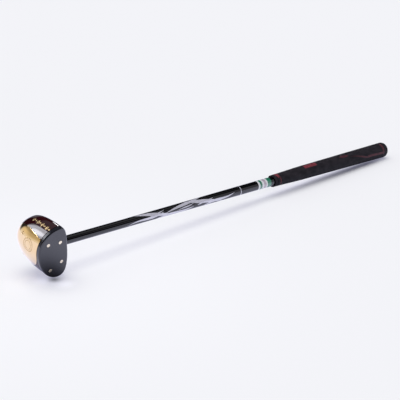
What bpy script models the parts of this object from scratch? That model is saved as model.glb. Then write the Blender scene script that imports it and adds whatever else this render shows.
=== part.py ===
"""A park golf club, built from its separate pieces and laid down with its toe up.

Units are metres and +Z is up. The shaft runs along +X, from the head to the grip.
The head is drawn in its own axes: +X to the toe, +Y out of the face, +Z to the crown.
Their origin is where the shaft's axis meets the level of the crown.
"""

import math

import bmesh
import bpy
from mathutils import Vector
from mathutils.bvhtree import BVHTree

# Whole club
CLUB_LENGTH = 0.830  # from the sole to the butt end, along the shaft
LIE_ANGLE = math.radians(74.5)  # between the shaft and the sole
FACE_TURN = math.radians(17.4)  # how far the face looks down while the club lies
GAP = 0.0003  # between pieces that touch

# Outline of the face: four quarters of superellipses about its widest level
TOE_REACH = 0.0555  # from the shaft's axis to the toe
HEEL_REACH = 0.0338  # from the shaft's axis to the heel
FACE_HEIGHT = 0.0486  # from the crown to the sole
WAIST_DROP = 0.0174  # from the crown to the widest level
WAIST_X = 0.0191  # where the crown is highest and the sole is lowest
TOE_CROWN_POWER = 3.5
HEEL_CROWN_POWER = 2.7
HEEL_SOLE_POWER = 1.9
TOE_SOLE_POWER = 2.1

# The block's run from the face to its round back
HEAD_DEPTH = 0.0692  # from the face to the back, with the face plate
FACE_TO_AXIS = 0.0291
PLAN_POWER = 2.7  # fullness of the back, seen from above
SIDE_POWER = 3.2  # fullness of the back, seen from the toe
BACK_CENTRE_X = 0.0146
CROWN_FALL = 0.0036  # how much lower the back sits than the face
SOLE_CAMBER = 0.0014

# Face plate and its screws
PLATE_THICKNESS = 0.0065
PLATE_EDGE_RADIUS = 0.0024
CROWN_ROW_DROP = 0.0120  # from the crown down to the upper screws
CROWN_ROW_INSET = 0.0263  # from the toe's and the heel's reach to those screws
SOLE_ROW_RISE = 0.0168  # from the sole up to the lower screws
SOLE_ROW_INSET = 0.0203
FACE_SCREW_HEAD_RADIUS = 0.0027
FACE_SCREW_SHANK_RADIUS = 0.0015
FACE_SCREW_LENGTH = 0.0160
SCREW_SINK = 0.0001  # how far a face screw's head lies below the face
SCREW_POINT_LENGTH = 0.0030
SLOT_WIDTH = 0.0008
SLOT_DEPTH = 0.0006
SLOT_TURN = math.radians(67.0)  # how far each slot is turned from the one before

# Sole plate, its screws and the weight under it
SOLE_PLATE_THICKNESS = 0.0030
SOLE_PLATE_RISE = 0.0113  # from the sole up to the plate's rim, below the shaft's axis
SOLE_PLATE_TILT = math.radians(6.3)  # its rim rises to the back
SOLE_PLATE_HEEL_MARGIN = 0.0198  # wood between the plate and the heel's reach
SOLE_PLATE_BACK_MARGIN = 0.0061
SOLE_SCREW_TOE_INSET = 0.0189  # from the toe's reach
SOLE_SCREW_HEEL_INSET = 0.0110  # from the plate's heel end
SOLE_SCREW_Y = -0.0136
SOLE_SCREW_HEAD_RADIUS = 0.0022
SOLE_SCREW_SHANK_RADIUS = 0.0013
SOLE_SCREW_LENGTH = 0.0150
SOLE_SCREW_SINK = 0.0002  # how far the cone starts below the sole
WEIGHT_X = 0.0290
WEIGHT_FRONT_WOOD = 0.0005  # between its pocket and the ends of the face screws' holes
WEIGHT_RADIUS = 0.0085
WEIGHT_RISE = 0.0186  # from the sole up to its top

# Shaft and ferrule
SHAFT_TIP_RADIUS = 0.00665
SHAFT_BUTT_RADIUS = 0.0080
SHAFT_TIP_LENGTH = 0.1200  # parallel stretch above the crown
SHAFT_BARE_BUTT = 0.0150  # parallel stretch below the grip
SHAFT_WALL = 0.0016
BORE_FLOOR = 0.0100  # wood and brass left between the bore and the sole
FERRULE_LENGTH = 0.0120
FERRULE_BASE_WALL = 0.0022
FERRULE_TOP_WALL = 0.0007

# Grip and the tape under it
GRIP_LENGTH = 0.3190
GRIP_MOUTH_WALL = 0.0013
GRIP_SHOULDER_WALL = 0.0033
GRIP_BUTT_WALL = 0.0055
GRIP_NECK_LENGTH = 0.0830  # from the mouth to the shoulder
GRIP_END_RADIUS = 0.0080  # rounding of the butt
GRIP_END_WALL = 0.0045
GRIP_LIP_RADIUS = 0.0010
GRIP_LIP_LENGTH = 0.0045
GRIP_GROOVE_DEPTH = 0.0006
GRIP_GROOVE_WIDTH = 0.0022
VENT_RADIUS = 0.0015
TAPE_THICKNESS = 0.0004
TAPE_SET_BACK = 0.0040  # from the grip's mouth to the tape

# Fineness of the meshes
OUTLINE_POINTS = 72
DEPTH_STEPS = 15
LAST_RING = 0.96  # share of the quarter turn at which the back is closed
ROUND_STEPS = 48
SMALL_ROUND_STEPS = 20
ARC_STEPS = 4
NECK_STEPS = 9
BODY_STEPS = 6
SMOOTH_ANGLE = math.radians(35.0)
CUTTER_OVERRUN = 0.0100

# Places that follow from the sizes above
SHAFT_LEAN = math.radians(90.0) - LIE_ANGLE
JOINT_Y = FACE_TO_AXIS - PLATE_THICKNESS
BUTT_END = CLUB_LENGTH - FACE_HEIGHT / math.cos(SHAFT_LEAN)
GRIP_START = BUTT_END - GRIP_LENGTH
SHAFT_END = BUTT_END - GRIP_END_WALL - GAP
BORE_RADIUS = SHAFT_TIP_RADIUS + GAP
BORE_DEPTH = (FACE_HEIGHT - BORE_FLOOR) / math.cos(SHAFT_LEAN) - BORE_RADIUS * math.tan(SHAFT_LEAN)
TAPE_RADIUS = SHAFT_BUTT_RADIUS + GAP
GRIP_BORE_RADIUS = TAPE_RADIUS + TAPE_THICKNESS + GAP
GRIP_MOUTH_RADIUS = GRIP_BORE_RADIUS + GRIP_MOUTH_WALL
SOLE_PLATE_HEEL_X = SOLE_PLATE_HEEL_MARGIN - HEEL_REACH
SOLE_PLATE_BACK_Y = FACE_TO_AXIS - HEAD_DEPTH + SOLE_PLATE_BACK_MARGIN
FACE_HOLE_END_Y = FACE_TO_AXIS - SCREW_SINK - FACE_SCREW_LENGTH - GAP
WEIGHT_Y = FACE_HOLE_END_Y - WEIGHT_FRONT_WOOD - GAP - WEIGHT_RADIUS
SCREW_PLACES = {
    "toe_crown": (TOE_REACH - CROWN_ROW_INSET, -CROWN_ROW_DROP),
    "heel_crown": (CROWN_ROW_INSET - HEEL_REACH, -CROWN_ROW_DROP),
    "toe_sole": (TOE_REACH - SOLE_ROW_INSET, SOLE_ROW_RISE - FACE_HEIGHT),
    "heel_sole": (SOLE_ROW_INSET - HEEL_REACH, SOLE_ROW_RISE - FACE_HEIGHT),
}
SOLE_SCREW_PLACES = {
    "toe": (TOE_REACH - SOLE_SCREW_TOE_INSET, SOLE_SCREW_Y),
    "heel": (SOLE_PLATE_HEEL_X + SOLE_SCREW_HEEL_INSET, SOLE_SCREW_Y),
}


def clear_scene():
    for obj in list(bpy.data.objects):
        bpy.data.objects.remove(obj, do_unlink=True)


def make_material(name, color, roughness, metallic=0.0):
    material = bpy.data.materials.new(name)
    material.use_nodes = True
    shader = material.node_tree.nodes["Principled BSDF"]
    shader.inputs["Base Color"].default_value = (*color, 1.0)
    shader.inputs["Roughness"].default_value = roughness
    shader.inputs["Metallic"].default_value = metallic
    return material


def make_empty(name, parent=None):
    empty = bpy.data.objects.new(name, None)
    empty.parent = parent
    bpy.context.scene.collection.objects.link(empty)
    return empty


def make_object(name, bm, parent, material=None):
    """Turn a bmesh into an object; one without a material is a cutter."""
    bmesh.ops.recalc_face_normals(bm, faces=bm.faces)
    mesh = bpy.data.meshes.new(name)
    bm.to_mesh(mesh)
    bm.free()
    mesh.shade_smooth()
    mesh.set_sharp_from_angle(angle=SMOOTH_ANGLE)
    obj = bpy.data.objects.new(name, mesh)
    obj.parent = parent
    bpy.context.scene.collection.objects.link(obj)
    if material is None:
        obj.hide_render = True
        obj.display_type = "WIRE"
    else:
        mesh.materials.append(material)
    return obj


def combine(obj, other, operation="DIFFERENCE"):
    """Cut an object with another one, or keep only what they share."""
    modifier = obj.modifiers.new(other.name, "BOOLEAN")
    modifier.operation = operation
    modifier.solver = "EXACT"
    modifier.object = other


def loft(rings):
    """Skin a row of rings that have the same number of points, and cap both ends."""
    bm = bmesh.new()
    loops = [[bm.verts.new(point) for point in ring] for ring in rings]
    for near, far in zip(loops, loops[1:]):
        for i in range(len(near)):
            j = (i + 1) % len(near)
            bm.faces.new((near[i], near[j], far[j], far[i]))
    bm.faces.new(loops[0])
    bm.faces.new(loops[-1])
    return bm


def turn(profile, steps=ROUND_STEPS):
    """Turn a profile of (radius, height) points round Z, closed on itself or on the axis."""
    bm = bmesh.new()
    verts = [bm.verts.new((radius, 0.0, height)) for radius, height in profile]
    edges = [bm.edges.new(pair) for pair in zip(verts, verts[1:])]
    if profile[0][0] > 0.0:
        edges.append(bm.edges.new((verts[-1], verts[0])))
    bmesh.ops.spin(
        bm, geom=verts + edges, cent=(0, 0, 0), axis=(0, 0, 1), angle=2 * math.pi, steps=steps, use_merge=True
    )
    bmesh.ops.remove_doubles(bm, verts=bm.verts, dist=1e-6)
    return bm


def rod(radius, bottom, top):
    """A plain round bar along Z."""
    return turn([(0.0, top), (radius, top), (radius, bottom), (0.0, bottom)])


def arc(centre, radius, start, end, steps=ARC_STEPS):
    """Points (radius, height) of an arc, from one angle to another, in degrees."""
    angles = [math.radians(start + (end - start) * i / steps) for i in range(steps + 1)]
    return [(centre[0] + radius * math.cos(a), centre[1] + radius * math.sin(a)) for a in angles]


def face_outline(inset=0.0):
    """Points (x, z) of the head's outline at the face, drawn in by the inset."""
    points = []
    for i in range(OUTLINE_POINTS):
        angle = 2 * math.pi * i / OUTLINE_POINTS
        across = math.cos(angle)
        up = math.sin(angle)
        if across >= 0.0:
            reach = TOE_REACH - WAIST_X - inset
            power = TOE_CROWN_POWER if up >= 0.0 else TOE_SOLE_POWER
        else:
            reach = HEEL_REACH + WAIST_X - inset
            power = HEEL_CROWN_POWER if up >= 0.0 else HEEL_SOLE_POWER
        rise = (WAIST_DROP if up >= 0.0 else FACE_HEIGHT - WAIST_DROP) - inset
        scale = (abs(across) ** power + abs(up) ** power) ** (-1.0 / power)
        points.append((WAIST_X + reach * across * scale, -WAIST_DROP + rise * up * scale))
    return points


def head_form(inset=0.0, front=JOINT_Y):
    """The block's whole outer form, or the same form drawn in, from a front plane to the back."""
    rim = face_outline(inset)
    depth = HEAD_DEPTH - PLATE_THICKNESS - inset
    sole_rise = FACE_HEIGHT - WAIST_DROP - inset
    rings = []
    if front > JOINT_Y:
        rings.append([(x, front, z) for x, z in rim])
    for i in range(DEPTH_STEPS + 1):
        quarter = LAST_RING * 0.5 * math.pi * i / DEPTH_STEPS
        back = math.sin(quarter) ** (2.0 / PLAN_POWER)
        plan = math.cos(quarter) ** (2.0 / PLAN_POWER)
        side = (1.0 - back**SIDE_POWER) ** (1.0 / SIDE_POWER)
        centre_x = WAIST_X + (BACK_CENTRE_X - WAIST_X) * back
        ring = []
        for x, z in rim:
            below = max(0.0, -WAIST_DROP - z) / sole_rise
            camber = SOLE_CAMBER * 4.0 * back * (1.0 - back) * below**2
            level = -WAIST_DROP - CROWN_FALL * back + (z + WAIST_DROP) * side - camber
            ring.append((centre_x + (x - WAIST_X) * plan, JOINT_Y - depth * back, level))
        rings.append(ring)
    return loft(rings)


def sole_point(x, y):
    """A place on the sole's surface and the way out of it, found on the form itself."""
    form = head_form()
    bmesh.ops.recalc_face_normals(form, faces=form.faces)
    hit = BVHTree.FromBMesh(form).ray_cast(Vector((x, y, -1.0)), Vector((0.0, 0.0, 1.0)))
    form.free()
    return hit[0], hit[1]


def sole_region(grow=0.0, front=0.0):
    """The space below the sole plate's rim: straight to the toe, elliptical at the heel."""
    toe_x = TOE_REACH + CUTTER_OVERRUN
    front_y = JOINT_Y - GAP
    centre_y = 0.5 * (front_y + SOLE_PLATE_BACK_Y)
    half_length = WAIST_X - SOLE_PLATE_HEEL_X + grow
    half_width = 0.5 * (front_y - SOLE_PLATE_BACK_Y) + grow
    plan = [(toe_x, front_y + grow + front)]
    if front > 0.0:
        plan.append((WAIST_X, front_y + grow + front))
    for i in range(2 * SMALL_ROUND_STEPS + 1):
        angle = 0.5 * math.pi + math.pi * i / (2 * SMALL_ROUND_STEPS)
        plan.append((WAIST_X + half_length * math.cos(angle), centre_y + half_width * math.sin(angle)))
    plan.append((toe_x, centre_y - half_width))
    level = SOLE_PLATE_RISE - FACE_HEIGHT + grow
    rim = [(x, y, level - y * math.tan(SOLE_PLATE_TILT)) for x, y in plan]
    floor = [(x, y, -FACE_HEIGHT - 2 * CUTTER_OVERRUN) for x, y in plan]
    return loft([rim, floor])


def screw_profile(head_radius, shank_radius, length, grow=0.0, above=0.0):
    """A countersunk wood screw along -Z with its head's top at zero, or its clearance hole."""
    cone = head_radius - shank_radius
    profile = [(0.0, above)]
    if above > 0.0:
        profile.append((head_radius + grow, above))
    profile.append((head_radius + grow, 0.0))
    profile.append((shank_radius + grow, -cone))
    profile.append((shank_radius + grow, SCREW_POINT_LENGTH - length))
    profile.append((0.0, -length - grow))
    return profile


def place_screw(name, sizes, place, outward, parent, material, above=0.0):
    """A screw at a place on a surface, and its clearance hole through whatever it holds."""
    screw = make_object(name, turn(screw_profile(*sizes, above=above), SMALL_ROUND_STEPS), parent, material)
    hole_profile = screw_profile(*sizes, grow=GAP, above=CUTTER_OVERRUN)
    hole = make_object(name + "_hole", turn(hole_profile, SMALL_ROUND_STEPS), parent)
    for obj in (screw, hole):
        obj.location = place
        obj.rotation_euler = outward.to_track_quat("Z", "Y").to_euler()
    return screw, hole


def cut_slot(screw, level, angle):
    """A driver's slot across a screw's head, whose top is at the level."""
    bm = bmesh.new()
    bmesh.ops.create_cube(bm, size=1.0)
    bmesh.ops.scale(bm, vec=(CUTTER_OVERRUN, SLOT_WIDTH, 2 * SLOT_DEPTH), verts=bm.verts)
    slot = make_object(screw.name + "_slot", bm, screw)
    slot.location.z = level
    slot.rotation_euler.z = angle
    combine(screw, slot)


def build_face_plate(head_axes, material):
    """A slab of the head's outline with a rounded front edge."""
    centre = (-PLATE_EDGE_RADIUS, FACE_TO_AXIS - PLATE_EDGE_RADIUS)
    rings = [[(x, JOINT_Y + GAP, z) for x, z in face_outline()]]
    for overhang, level in arc(centre, PLATE_EDGE_RADIUS, 0, 90):
        rings.append([(x, level, z) for x, z in face_outline(-overhang)])
    return make_object("face_plate", loft(rings), head_axes, material)


def build_face_screws(head_axes, material):
    """The four screws, and the clearance holes that they need in the plate and the block."""
    screws = []
    holes = []
    sizes = (FACE_SCREW_HEAD_RADIUS, FACE_SCREW_SHANK_RADIUS, FACE_SCREW_LENGTH)
    for name, (x, z) in SCREW_PLACES.items():
        place = Vector((x, FACE_TO_AXIS - SCREW_SINK, z))
        screw, hole = place_screw("face_screw_" + name, sizes, place, Vector((0, 1, 0)), head_axes, material)
        cut_slot(screw, 0.0, SLOT_TURN * len(screws))
        screws.append(screw)
        holes.append(hole)
    return screws, holes


def build_sole_plate(head_axes, material):
    """The head's own form below the rim, hollowed so that the plate is a curved shell."""
    plate = make_object("sole_plate", head_form(), head_axes, material)
    combine(plate, make_object("sole_region", sole_region(), head_axes), "INTERSECT")
    core = head_form(SOLE_PLATE_THICKNESS, JOINT_Y + CUTTER_OVERRUN)
    combine(plate, make_object("sole_plate_core", core, head_axes))
    return plate


def build_sole_seat(head_axes):
    """The rebate in the block that the sole plate drops into."""
    seat = make_object("sole_seat", sole_region(GAP, CUTTER_OVERRUN), head_axes)
    core = head_form(SOLE_PLATE_THICKNESS + GAP, JOINT_Y + 2 * CUTTER_OVERRUN)
    seat_core = make_object("sole_seat_core", core, head_axes)
    combine(seat, seat_core)
    return seat, seat_core


def build_sole_screws(head_axes, material):
    """Screws driven up through the sole plate, their heads filed to the sole's curve."""
    screws = []
    holes = []
    file_form = make_object("sole_file_form", head_form(), head_axes)
    sizes = (SOLE_SCREW_HEAD_RADIUS, SOLE_SCREW_SHANK_RADIUS, SOLE_SCREW_LENGTH)
    for end, (x, y) in SOLE_SCREW_PLACES.items():
        surface, outward = sole_point(x, y)
        place = surface - outward * SOLE_SCREW_SINK
        name = "sole_screw_" + end
        screw, hole = place_screw(name, sizes, place, outward, head_axes, material, above=CUTTER_OVERRUN)
        combine(screw, file_form, "INTERSECT")
        cut_slot(screw, SOLE_SCREW_SINK, SLOT_TURN * len(screws))
        screws.append(screw)
        holes.append(hole)
    return screws, holes


def build_balance_weight(head_axes, seat_core, material):
    """A plug in the block, whose lower end follows the sole plate's seat, and its pocket."""
    weight_form = rod(WEIGHT_RADIUS, -CUTTER_OVERRUN, WEIGHT_RISE)
    weight = make_object("balance_weight", weight_form, head_axes, material)
    pocket_form = rod(WEIGHT_RADIUS + GAP, -CUTTER_OVERRUN, WEIGHT_RISE + GAP)
    pocket = make_object("balance_weight_pocket", pocket_form, head_axes)
    for obj in (weight, pocket):
        obj.location = (WEIGHT_X, WEIGHT_Y, -FACE_HEIGHT)
    combine(weight, seat_core, "INTERSECT")
    return weight, pocket


def build_shaft(club, material):
    """A tapered tube, open at both ends, and the blind bore that holds its tip."""
    outer = [
        (SHAFT_TIP_RADIUS, GAP - BORE_DEPTH),
        (SHAFT_TIP_RADIUS, SHAFT_TIP_LENGTH),
        (SHAFT_BUTT_RADIUS, GRIP_START - SHAFT_BARE_BUTT),
        (SHAFT_BUTT_RADIUS, SHAFT_END),
    ]
    inner = [(radius - SHAFT_WALL, height) for radius, height in reversed(outer)]
    shaft = make_object("shaft", turn(outer + inner), club, material)
    bore = make_object("shaft_bore", rod(BORE_RADIUS, -BORE_DEPTH, CUTTER_OVERRUN), club)
    return shaft, bore


def build_ferrule(club, head_axes, material):
    """The collar at the crown, its foot cut to the crown's curve."""
    foot = -0.5 * CUTTER_OVERRUN
    base_radius = BORE_RADIUS + FERRULE_BASE_WALL
    top_radius = BORE_RADIUS + FERRULE_TOP_WALL
    bead = 0.5 * FERRULE_TOP_WALL
    profile = [(BORE_RADIUS, foot), (base_radius, foot), (base_radius, 0.0)]
    profile += arc((top_radius - bead, FERRULE_LENGTH - bead), bead, 0, 90, 2)
    profile.append((BORE_RADIUS, FERRULE_LENGTH))
    ferrule = make_object("ferrule", turn(profile), club, material)
    combine(ferrule, make_object("crown_form", head_form(-GAP, JOINT_Y + GAP), head_axes))
    return ferrule


def build_grip_tape(club, material):
    inner = TAPE_RADIUS
    outer = TAPE_RADIUS + TAPE_THICKNESS
    start = GRIP_START + TAPE_SET_BACK
    profile = [(outer, start), (outer, SHAFT_END), (inner, SHAFT_END), (inner, start)]
    return make_object("grip_tape", turn(profile), club, material)


def grip_radius(distance):
    """Outer radius at a distance from the mouth: a straight cone that narrows smoothly at its neck."""
    taper = (GRIP_BUTT_WALL - GRIP_SHOULDER_WALL) / (GRIP_LENGTH - GRIP_NECK_LENGTH)
    cone = GRIP_BORE_RADIUS + GRIP_BUTT_WALL - taper * (GRIP_LENGTH - distance)
    mouth_cone = GRIP_BORE_RADIUS + GRIP_BUTT_WALL - taper * GRIP_LENGTH
    share = min(1.0, distance / GRIP_NECK_LENGTH)
    return cone - (mouth_cone - GRIP_MOUTH_RADIUS) * (1.0 - share**2 * (3.0 - 2.0 * share))


def build_grip(club, material):
    """The rubber sleeve: lip and groove at the mouth, neck, swell and a vented round butt."""
    lip = GRIP_LIP_RADIUS
    groove = GRIP_START + GRIP_LIP_LENGTH
    groove_radius = GRIP_MOUTH_RADIUS - GRIP_GROOVE_DEPTH
    profile = [(GRIP_BORE_RADIUS, GRIP_START)]
    profile += arc((GRIP_MOUTH_RADIUS - lip, GRIP_START + lip), lip, -90, 0, 3)
    profile += [(GRIP_MOUTH_RADIUS, groove), (groove_radius, groove)]
    profile.append((groove_radius, groove + GRIP_GROOVE_WIDTH))
    neck_start = GRIP_LIP_LENGTH + GRIP_GROOVE_WIDTH
    for i in range(NECK_STEPS + 1):
        distance = neck_start + (GRIP_NECK_LENGTH - neck_start) * i / NECK_STEPS
        profile.append((grip_radius(distance), GRIP_START + distance))
    swell_end = GRIP_LENGTH - GRIP_END_RADIUS
    for i in range(1, BODY_STEPS):
        distance = GRIP_NECK_LENGTH + (swell_end - GRIP_NECK_LENGTH) * i / BODY_STEPS
        profile.append((grip_radius(distance), GRIP_START + distance))
    end_radius = grip_radius(swell_end)
    profile += arc((end_radius - GRIP_END_RADIUS, GRIP_START + swell_end), GRIP_END_RADIUS, 0, 90, 8)
    profile += [(VENT_RADIUS, BUTT_END), (VENT_RADIUS, BUTT_END - GRIP_END_WALL)]
    profile.append((GRIP_BORE_RADIUS, BUTT_END - GRIP_END_WALL))
    return make_object("grip", turn(profile), club, material)


def world_points(objects):
    """Every vertex of the objects, with their modifiers, in world space."""
    bpy.context.view_layer.update()
    depsgraph = bpy.context.evaluated_depsgraph_get()
    points = []
    for obj in objects:
        evaluated = obj.evaluated_get(depsgraph)
        mesh = evaluated.to_mesh()
        points += [evaluated.matrix_world @ vertex.co for vertex in mesh.vertices]
        evaluated.to_mesh_clear()
    return points


def lay_down(club, head_pieces, grip, pieces):
    """Slope the shaft until head and grip both touch the floor, then centre the club on the origin."""
    club.rotation_mode = "ZYX"
    slope = 0.0
    for _ in range(5):
        club.rotation_euler = (0.0, 0.5 * math.pi + slope, math.pi + FACE_TURN)
        head_low = min(point.z for point in world_points(head_pieces))
        grip_low = min(point.z for point in world_points([grip]))
        slope += (grip_low - head_low) / BUTT_END
    points = world_points(pieces)
    low = [min(point[i] for point in points) for i in range(3)]
    high = [max(point[i] for point in points) for i in range(3)]
    club.location = (-0.5 * (low[0] + high[0]), -0.5 * (low[1] + high[1]), -low[2])


def build_club():
    lacquered_wood = make_material("lacquered_wood", (0.045, 0.006, 0.008), 0.12)
    black_resin = make_material("black_resin", (0.020, 0.020, 0.025), 0.35)
    screw_brass = make_material("screw_brass", (0.80, 0.62, 0.34), 0.30, 1.0)
    sole_brass = make_material("sole_brass", (0.78, 0.58, 0.30), 0.22, 1.0)
    weight_brass = make_material("weight_brass", (0.62, 0.48, 0.26), 0.45, 1.0)
    shaft_black = make_material("shaft_black", (0.006, 0.006, 0.008), 0.10)
    ferrule_black = make_material("ferrule_black", (0.010, 0.010, 0.012), 0.20)
    grip_rubber = make_material("grip_rubber", (0.022, 0.020, 0.024), 0.60)
    tape_paper = make_material("tape_paper", (0.70, 0.66, 0.55), 0.80)

    club = make_empty("club")
    head_axes = make_empty("head_axes", club)
    head_axes.rotation_euler.y = SHAFT_LEAN

    head_block = make_object("head_block", head_form(), head_axes, lacquered_wood)
    face_plate = build_face_plate(head_axes, black_resin)
    face_screws, face_holes = build_face_screws(head_axes, screw_brass)
    sole_plate = build_sole_plate(head_axes, sole_brass)
    sole_seat, seat_core = build_sole_seat(head_axes)
    sole_screws, sole_holes = build_sole_screws(head_axes, screw_brass)
    weight, weight_pocket = build_balance_weight(head_axes, seat_core, weight_brass)
    shaft, shaft_bore = build_shaft(club, shaft_black)
    ferrule = build_ferrule(club, head_axes, ferrule_black)
    grip_tape = build_grip_tape(club, tape_paper)
    grip = build_grip(club, grip_rubber)

    for hole in face_holes:
        combine(face_plate, hole)
    face_plate.modifiers.new("flat_face_shading", "WEIGHTED_NORMAL").keep_sharp = True
    for hole in sole_holes:
        combine(sole_plate, hole)
    for cutter in [sole_seat, weight_pocket, shaft_bore] + face_holes + sole_holes:
        combine(head_block, cutter)

    head_pieces = [head_block, face_plate, sole_plate]
    pieces = head_pieces + face_screws + sole_screws + [weight, shaft, ferrule, grip_tape, grip]
    lay_down(club, head_pieces, grip, pieces)


clear_scene()
build_club()
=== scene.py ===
"""Looks of the park golf club: detailed pieces, materials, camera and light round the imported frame.

Head axes: +X to the toe, +Y out of the face, +Z to the crown, from where the shaft's axis meets
the crown. Shaft axes: +Z from the head to the butt, from the same point. Lengths are in metres.
"""

import math

import bmesh
import bpy
from mathutils import Euler, Matrix, Vector
from mathutils.bvhtree import BVHTree


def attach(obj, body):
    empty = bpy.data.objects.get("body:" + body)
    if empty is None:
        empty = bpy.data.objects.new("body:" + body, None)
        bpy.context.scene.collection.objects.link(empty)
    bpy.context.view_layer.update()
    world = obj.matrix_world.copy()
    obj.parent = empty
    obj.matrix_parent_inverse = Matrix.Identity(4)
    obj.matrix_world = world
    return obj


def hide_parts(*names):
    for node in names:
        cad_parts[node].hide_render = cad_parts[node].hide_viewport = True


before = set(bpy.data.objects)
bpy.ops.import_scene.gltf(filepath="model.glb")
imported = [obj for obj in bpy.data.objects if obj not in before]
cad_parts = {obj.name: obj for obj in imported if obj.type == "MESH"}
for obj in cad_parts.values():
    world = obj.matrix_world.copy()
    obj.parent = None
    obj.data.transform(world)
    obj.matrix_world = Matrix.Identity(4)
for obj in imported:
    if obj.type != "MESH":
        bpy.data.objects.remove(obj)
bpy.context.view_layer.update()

# Pose of the club, as the CAD source lays it down
CLUB_PLACE = Vector((-0.362290, 0.001118, 0.043622))
SHAFT_SLOPE = 1.608676 - 0.5 * math.pi
FACE_TURN = math.radians(17.4)
SHAFT_LEAN = math.radians(15.5)
CLUB_TURN = Euler((0.0, 0.5 * math.pi + SHAFT_SLOPE, math.pi + FACE_TURN), "ZYX")
TO_CLUB = Matrix.Translation(CLUB_PLACE) @ CLUB_TURN.to_matrix().to_4x4()
TO_HEAD = TO_CLUB @ Matrix.Rotation(SHAFT_LEAN, 4, "Y")

# Common to all pieces
GAP = 0.0003
SKIN = 0.00007  # the fine meshes lie this far inside the coarser frame's corners
EDGE = 0.0003  # rounding of small rims
CLEAR = 0.01  # how far a cutter runs past what it cuts
SHARP_ANGLE = math.radians(35.0)
TURNED_STEPS = 128
BORE_STEPS = 96
SCREW_STEPS = 64

# Head
TOE_REACH = 0.0555
HEEL_REACH = 0.0338
FACE_HEIGHT = 0.0486
WAIST_DROP = 0.0174
WAIST_X = 0.0191
TOE_CROWN_POWER = 3.5
HEEL_CROWN_POWER = 2.7
HEEL_SOLE_POWER = 1.9
TOE_SOLE_POWER = 2.1
HEAD_DEPTH = 0.0692
FACE_TO_AXIS = 0.0291
PLAN_POWER = 2.7
SIDE_POWER = 3.2
BACK_CENTRE_X = 0.0146
CROWN_FALL = 0.0036
SOLE_CAMBER = 0.0014
BLOCK_EDGE = 0.0004
BLOCK_EDGE_STEPS = 4
LAST_RING = 0.985  # share of the way round to the back where the last ring lies
OUTLINE_POINTS = 240
DEPTH_STEPS = 44
COARSE_FORM = (160, 30)  # points round the outline, steps of depth
FINE_FORM = (360, 90)

# Face plate
PLATE_THICKNESS = 0.0065
PLATE_EDGE_RADIUS = 0.0024
PLATE_EDGE_TURN = -0.0445  # above this height the plate's side has the duller finish
PLATE_SIDE_FROM = 0.0012  # behind the face
JOINT_Y = FACE_TO_AXIS - PLATE_THICKNESS

# Screws: head radius, shank radius, length
FACE_SCREW = (0.0027, 0.0015, 0.0160)
SOLE_SCREW = (0.0022, 0.0013, 0.0150)
SCREW_POINT = 0.003
SCREW_SINK = 0.0001
SOLE_SCREW_SINK = 0.0002
SLOT_LENGTH = 0.01
SLOT_WIDTH = 0.0004
SLOT_DEPTH = 0.0005
SLOT_TURNS = (25.0, 50.0)  # degrees: the first screw's, and what each next one adds
CROWN_ROW_DROP = 0.0120
CROWN_ROW_INSET = 0.0263
SOLE_ROW_RISE = 0.0168
SOLE_ROW_INSET = 0.0203

# Sole plate
SOLE_PLATE_THICKNESS = 0.0030
SOLE_PLATE_RISE = 0.0113
SOLE_PLATE_TILT = math.radians(6.3)
SOLE_PLATE_HEEL_X = 0.0198 - HEEL_REACH
SOLE_PLATE_BACK_Y = FACE_TO_AXIS - HEAD_DEPTH + 0.0061
SOLE_REGION_STEPS = 96
SOLE_SCREW_PLACES = {"toe": (TOE_REACH - 0.0189, -0.0136), "heel": (SOLE_PLATE_HEEL_X + 0.0110, -0.0136)}

# Ornament of the head
INLAY_SINK = 0.0001
GOLD_RISE = 0.00003
ETCH_RISE = 0.00002
RAY_START = 0.2  # how far off the rays start that lay an inlay on the head
LOZENGES = 8
LOZENGE_PITCH = 0.0050
LOZENGE_START = (-0.0140, -0.0238)
LARGE_LOZENGE = (0.0026, 0.0036)  # half width, half height
SMALL_LOZENGE = (0.0016, 0.0018)
LOZENGE_HOLLOW = 1.7
LOZENGE_POINTS = 16
RING_POINTS = 96
RINGS_CENTRE = (0.0285, 0.0035)
RINGS = ((0.0089, 0.0102), (0.0056, 0.0066))  # inner and outer radius
SPOKES = 12
SPOKE_RADIUS = 0.0080
SPOKE = (0.0010, 0.0004)

# Shaft and ferrule
CLUB_LENGTH = 0.830
BUTT_END = CLUB_LENGTH - FACE_HEIGHT / math.cos(SHAFT_LEAN)
GRIP_LENGTH = 0.3190
GRIP_START = BUTT_END - GRIP_LENGTH
SHAFT_TIP_RADIUS = 0.00665
SHAFT_BUTT_RADIUS = 0.0080
SHAFT_TIP_LENGTH = 0.1200
SHAFT_TAPER_END = GRIP_START - 0.0150
SHAFT_TAPER_STEPS = 8
SHAFT_WALL = 0.0016
BORE_RADIUS = SHAFT_TIP_RADIUS + GAP
BORE_DEPTH = (FACE_HEIGHT - 0.0100) / math.cos(SHAFT_LEAN) - BORE_RADIUS * math.tan(SHAFT_LEAN)
FERRULE_FOOT = 0.005
FERRULE_LENGTH = 0.0120
FERRULE_BASE_RADIUS = BORE_RADIUS + 0.0022
FERRULE_TOP_RADIUS = BORE_RADIUS + 0.0007
FERRULE_BEAD = 0.00035
FERRULE_GROOVES = (0.0030, 0.0045)
GROOVE_FORM = ((0.0, 0.0), (0.00025, 0.0002), (0.0003, 0.0006), (0.0001, 0.0008))  # depth, way along

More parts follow.
